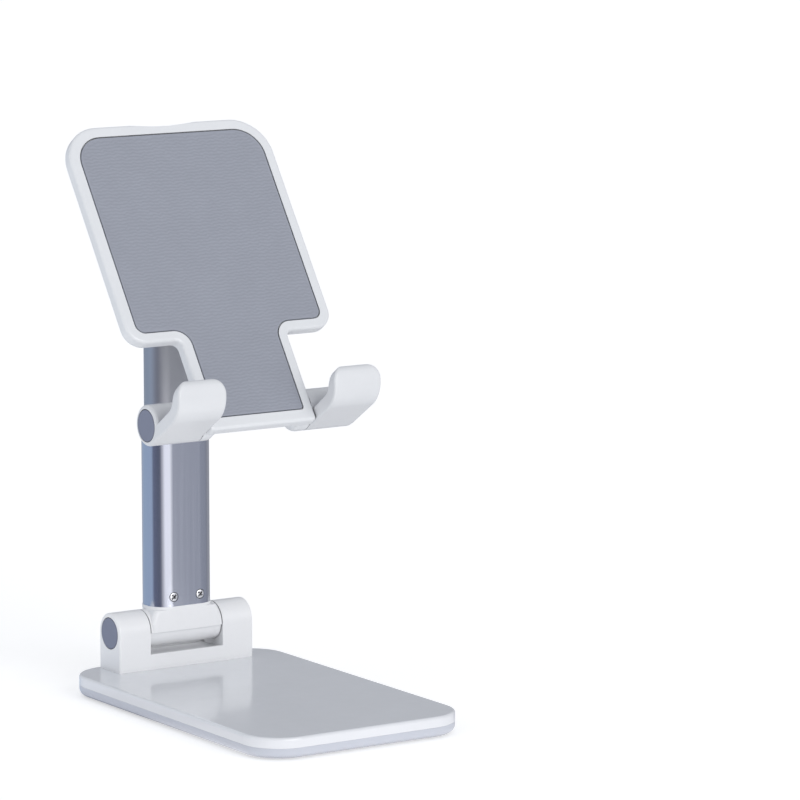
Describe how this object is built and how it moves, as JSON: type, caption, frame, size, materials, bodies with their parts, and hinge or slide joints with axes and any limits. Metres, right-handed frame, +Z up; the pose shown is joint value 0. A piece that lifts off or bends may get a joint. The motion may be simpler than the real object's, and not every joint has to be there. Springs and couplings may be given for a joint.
{
  "type": "phone stand",
  "caption": "Folding desk phone stand: weighted base, clevis hinge, telescopic aluminium column, tilting padded back plate and fold-in hooks that hold the phone by its lower edge.",
  "frame": {"origin": "centre of the base underside, on the foot pad", "axes": "+Z up, -Y towards the user, +X to the user's right"},
  "size_m": [0.0764, 0.1266, 0.1846],
  "materials": {
    "white_shell": "smooth injection-moulded ABS, satin gloss",
    "base_shell": "polished light grey-white ABS",
    "tube_aluminium": "fine brushed and anodised",
    "column_aluminium": "fine brushed and anodised",
    "cap_grey": "satin blue-grey plastic",
    "phone_silicone": "finely wave-textured silicone",
    "grip_silicone": "smooth silicone",
    "foot_silicone": "matt silicone sheet",
    "steel_fastener": "nickel-plated steel",
    "steel_plain": "plain mild steel",
    "slide_plastic": "natural acetal",
    "key_white": "white acetal"
  },
  "bodies": {
    "base": {"base_bottom_shell": "white_shell", "base_top_shell": "base_shell", "base_weight": "steel_plain", "base_foot_pad": "foot_silicone", "base_screws": "steel_fastener", "hinge_block": "white_shell", "block_screws": "steel_fastener", "base_hinge_pin": "steel_fastener", "base_hinge_nut": "steel_fastener", "base_hinge_washers": "steel_plain", "base_cap_left": "cap_grey", "base_cap_right": "cap_grey"},
    "column": {"foot_knuckle": "white_shell", "outer_tube": "tube_aluminium", "tube_collar": "white_shell", "tube_screws": "steel_fastener", "stop_key": "key_white"},
    "mast": {"inner_column": "column_aluminium", "glide_shoe": "slide_plastic", "friction_spring": "steel_plain", "head_knuckle": "white_shell", "head_screws": "steel_fastener"},
    "plate": {"plate_back_shell": "white_shell", "plate_front_frame": "white_shell", "phone_pad": "phone_silicone", "plate_screws": "steel_fastener", "head_hinge_pin": "steel_fastener", "head_hinge_washers": "steel_plain", "left_hook_pin": "steel_fastener", "left_hook_washer": "steel_plain", "right_hook_pin": "steel_fastener", "right_hook_washer": "steel_plain"},
    "left_hook": {"left_hook": "white_shell", "left_hook_pad": "grip_silicone", "left_hook_cap": "cap_grey"},
    "right_hook": {"right_hook": "white_shell", "right_hook_pad": "grip_silicone", "right_hook_cap": "cap_grey"}
  },
  "joints": [
    {"name": "column_fold", "type": "hinge", "parent": "base", "child": "column", "pos_m": [0, 0.0544, 0.0196], "axis": [1, 0, 0], "range_deg": [0, 90]},
    {"name": "mast_slide", "type": "slide", "parent": "column", "child": "mast", "axis": [0, 0, -1], "range_m": [0, 0.0461]},
    {"name": "plate_tilt", "type": "hinge", "parent": "mast", "child": "plate", "pos_m": [0, 0.0544, 0.154], "axis": [1, 0, 0], "range_deg": [-45, 34.4]},
    {"name": "left_hook_fold", "type": "hinge", "parent": "plate", "child": "left_hook", "pos_m": [-0.0285, 0.0089, 0.0955], "axis": [-1, 0, 0], "range_deg": [0, 90]},
    {"name": "right_hook_fold", "type": "hinge", "parent": "plate", "child": "right_hook", "pos_m": [0.0285, 0.0089, 0.0955], "axis": [-1, 0, 0], "range_deg": [0, 90]}
  ],
  "couplings": [
    {"joint": "plate_tilt", "follows": "column_fold", "ratio": 0.38222},
    {"joint": "left_hook_fold", "follows": "column_fold", "ratio": 1},
    {"joint": "right_hook_fold", "follows": "column_fold", "ratio": 1}
  ]
}
